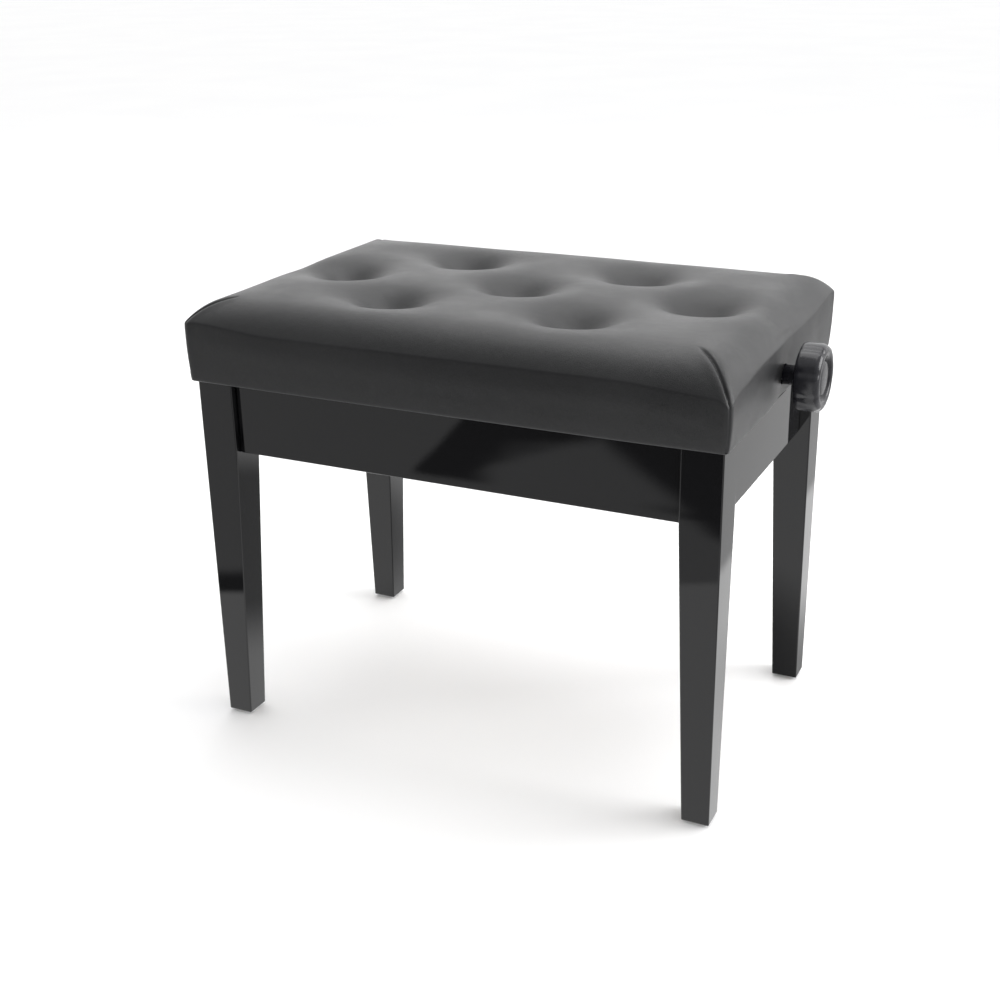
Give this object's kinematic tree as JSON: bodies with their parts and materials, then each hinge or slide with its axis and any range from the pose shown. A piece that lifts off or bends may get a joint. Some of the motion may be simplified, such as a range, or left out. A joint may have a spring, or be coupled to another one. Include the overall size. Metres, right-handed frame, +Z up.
{
  "type": "adjustable piano bench",
  "caption": "Height-adjustable piano bench with a tufted black seat on four tapered lacquered legs, raised by a scissor lift that a lead screw and side knobs drive.",
  "frame": {"origin": "on the floor, under the middle of the bench", "axes": "+X along the bench to its right end, +Z up, the front faces -Y"},
  "size_m": [0.641, 0.374, 0.47],
  "materials": {
    "black_lacquer": "polished black lacquer",
    "plywood": "raw sanded plywood",
    "black_steel": "satin black powder coat",
    "zinc_steel": "zinc plated",
    "brass": "machined",
    "nylon": "natural moulded nylon",
    "black_plastic": "glossy moulded",
    "leatherette": "satin black leatherette with a fine grain",
    "foam": "open-cell foam"
  },
  "bodies": {
    "base": {"apron_back": "black_lacquer", "apron_front": "black_lacquer", "apron_left": "black_lacquer", "apron_right": "black_lacquer", "base_rail_back": "black_steel", "base_rail_front": "black_steel", "corner_block_back_left": "plywood", "corner_block_back_right": "plywood", "corner_block_front_left": "plywood", "corner_block_front_right": "plywood", "glide_back_left": "nylon", "glide_back_right": "nylon", "glide_front_left": "nylon", "glide_front_right": "nylon", "hanger_bolt_back_left": "zinc_steel", "hanger_bolt_back_right": "zinc_steel", "hanger_bolt_front_left": "zinc_steel", "hanger_bolt_front_right": "zinc_steel", "leg_back_left": "black_lacquer", "leg_back_right": "black_lacquer", "leg_front_left": "black_lacquer", "leg_front_right": "black_lacquer"},
    "lift_arms": {"centre_pin_back": "zinc_steel", "centre_pin_front": "zinc_steel", "lift_arm_back": "black_steel", "lift_arm_front": "black_steel", "lower_pivot_shaft": "zinc_steel"},
    "cross_arms": {"cross_arm_back": "black_steel", "cross_arm_front": "black_steel"},
    "roller_axle": {"roller_back": "nylon", "roller_front": "nylon", "roller_shaft": "zinc_steel"},
    "seat": {"screw_bush_left": "nylon", "screw_bush_right": "nylon", "seat_board": "plywood", "seat_cover": "leatherette", "seat_foam": "foam", "seat_rail_back": "black_steel", "seat_rail_front": "black_steel", "seat_rim_back": "plywood", "seat_rim_front": "plywood", "seat_rim_left": "plywood", "seat_rim_right": "plywood", "tuft_button_1": "leatherette", "tuft_button_2": "leatherette", "tuft_button_3": "leatherette", "tuft_button_4": "leatherette", "tuft_button_5": "leatherette", "tuft_button_6": "leatherette", "tuft_button_7": "leatherette", "upper_pin_back": "zinc_steel", "upper_pin_front": "zinc_steel"},
    "screw": {"knob_left": "black_plastic", "knob_right": "black_plastic", "lead_screw": "zinc_steel", "screw_collar_left": "zinc_steel", "screw_collar_right": "zinc_steel"},
    "nut": {"screw_nut": "brass"}
  },
  "joints": [
    {"name": "lift_arm_pivot", "type": "hinge", "parent": "base", "child": "lift_arms", "pos_m": [-0.18606, 0, 0.3285], "axis": [0, -1, 0], "range_deg": [0, 15.13]},
    {"name": "cross_arm_pivot", "type": "hinge", "parent": "lift_arms", "child": "cross_arms", "pos_m": [0, 0, 0.367], "axis": [0, 1, 0], "range_deg": [0, 30.26]},
    {"name": "seat_pivot", "type": "hinge", "parent": "cross_arms", "child": "seat", "pos_m": [-0.18606, 0, 0.4055], "axis": [0, -1, 0], "range_deg": [0, 15.13]},
    {"name": "nut_pivot", "type": "hinge", "parent": "lift_arms", "child": "nut", "pos_m": [0.18606, 0, 0.4055], "axis": [0, 1, 0], "range_deg": [0, 15.13]},
    {"name": "roller_roll", "type": "hinge", "parent": "cross_arms", "child": "roller_axle", "pos_m": [0.18606, 0, 0.3285], "axis": [0, -1, 0], "range_deg": [0, 220.66]},
    {"name": "knob_turn", "type": "hinge", "parent": "seat", "child": "screw", "pos_m": [0, 0, 0.4055], "axis": [1, 0, 0], "range_deg": [0, 3961]}
  ],
  "couplings": [
    {"joint": "knob_turn", "follows": "lift_arm_pivot", "ratio": 261.71},
    {"joint": "cross_arm_pivot", "follows": "lift_arm_pivot", "ratio": 2},
    {"joint": "seat_pivot", "follows": "lift_arm_pivot", "ratio": 1},
    {"joint": "nut_pivot", "follows": "lift_arm_pivot", "ratio": 1},
    {"joint": "roller_roll", "follows": "lift_arm_pivot", "ratio": 14.582}
  ]
}
